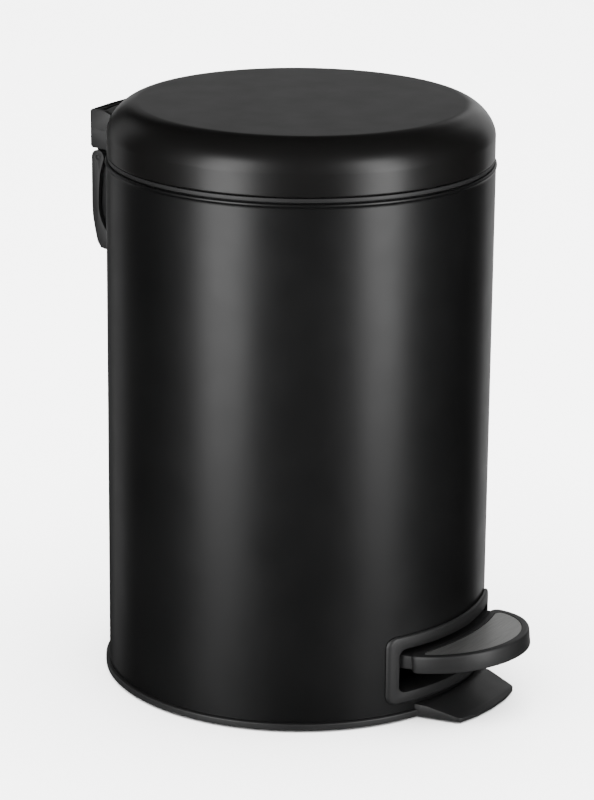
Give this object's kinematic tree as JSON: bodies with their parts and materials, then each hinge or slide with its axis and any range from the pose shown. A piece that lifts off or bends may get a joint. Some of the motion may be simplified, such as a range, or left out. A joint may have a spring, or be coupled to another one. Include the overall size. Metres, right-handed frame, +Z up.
{
  "type": "pedal trash can",
  "caption": "Round steel pedal trash can with a domed lid, front foot pedal, rear hinge housing with folding carry handle, and a lift-out inner bucket.",
  "frame": {"origin": "middle of the whole can's footprint, on the floor; the round body's own axis is 12.8 mm behind it at x = 0, y = 0.0128", "axes": "+Z up, -Y to the front where the pedal points, +X to the right of someone facing the can's back"},
  "size_m": [0.253, 0.3156, 0.379],
  "materials": {
    "body_paint": "satin black coating on rolled steel sheet",
    "lid_paint": "satin black coating on pressed steel",
    "black_plastic": "fine-grained black moulding",
    "ring_plastic": "satin grey moulding",
    "bucket_plastic": "satin dark grey moulding",
    "brushed_inlay": "fine straight brushing",
    "zinc_steel": "plain zinc plating",
    "foot_rubber": "matt"
  },
  "bodies": {
    "can": {"base_pan": "black_plastic", "foot_rear_right": "foot_rubber", "foot_rear_left": "foot_rubber", "foot_front_right": "foot_rubber", "foot_front_left": "foot_rubber", "foot_tongue": "foot_rubber", "outer_shell": "body_paint", "pedal_bezel": "black_plastic", "lever_bracket_right": "zinc_steel", "lever_bracket_left": "zinc_steel", "bracket_screw_right": "zinc_steel", "bracket_screw_left": "zinc_steel", "pivot_pin": "zinc_steel", "rod_guide_lower": "black_plastic", "rod_guide_upper": "black_plastic", "hinge_base": "zinc_steel", "hinge_axle": "zinc_steel", "hinge_screw_right": "zinc_steel", "hinge_screw_left": "zinc_steel", "rear_housing": "black_plastic", "handle_pin_right": "black_plastic", "handle_pin_left": "black_plastic", "rim_ring": "ring_plastic"},
    "lid": {"lid_shell": "lid_paint", "lid_liner": "black_plastic", "lid_bracket": "zinc_steel", "lid_screw_right": "zinc_steel", "lid_screw_left": "zinc_steel", "lift_pin": "zinc_steel", "hinge_cover": "black_plastic"},
    "pedal": {"pedal_cover": "black_plastic", "pedal_inlay": "brushed_inlay", "pedal_lever": "zinc_steel", "lever_pin": "zinc_steel"},
    "rod": {"push_rod": "zinc_steel", "rod_head": "black_plastic", "rod_foot": "black_plastic"},
    "handle": {"carry_handle": "black_plastic"},
    "bucket": {"inner_bucket": "bucket_plastic"},
    "bail": {"bucket_bail": "zinc_steel"}
  },
  "joints": [
    {"name": "lid_hinge", "type": "hinge", "parent": "can", "child": "lid", "pos_m": [0, 0.1423, 0.3505], "axis": [-1, 0, 0], "range_deg": [0, 76]},
    {"name": "pedal_press", "type": "hinge", "parent": "can", "child": "pedal", "pos_m": [0, -0.0182, 0.03], "axis": [1, 0, 0], "range_deg": [0, 8.32]},
    {"name": "rod_slide", "type": "slide", "parent": "can", "child": "rod", "axis": [0, 0, 1], "range_m": [0, 0.0214]},
    {"name": "handle_swing", "type": "hinge", "parent": "can", "child": "handle", "pos_m": [0, 0.1503, 0.3293], "axis": [1, 0, 0], "range_deg": [0, 90]},
    {"name": "bucket_lift", "type": "slide", "parent": "can", "child": "bucket", "axis": [0, 0, 1], "range_m": [0, 0.004]},
    {"name": "bail_swing", "type": "hinge", "parent": "bucket", "child": "bail", "pos_m": [0, 0.0128, 0.3384], "axis": [-1, 0, 0], "range_deg": [0, 2]}
  ],
  "couplings": [
    {"joint": "pedal_press", "follows": "lid_hinge", "ratio": 0.10941},
    {"joint": "rod_slide", "follows": "lid_hinge", "m_per_rad": 0.01611}
  ]
}
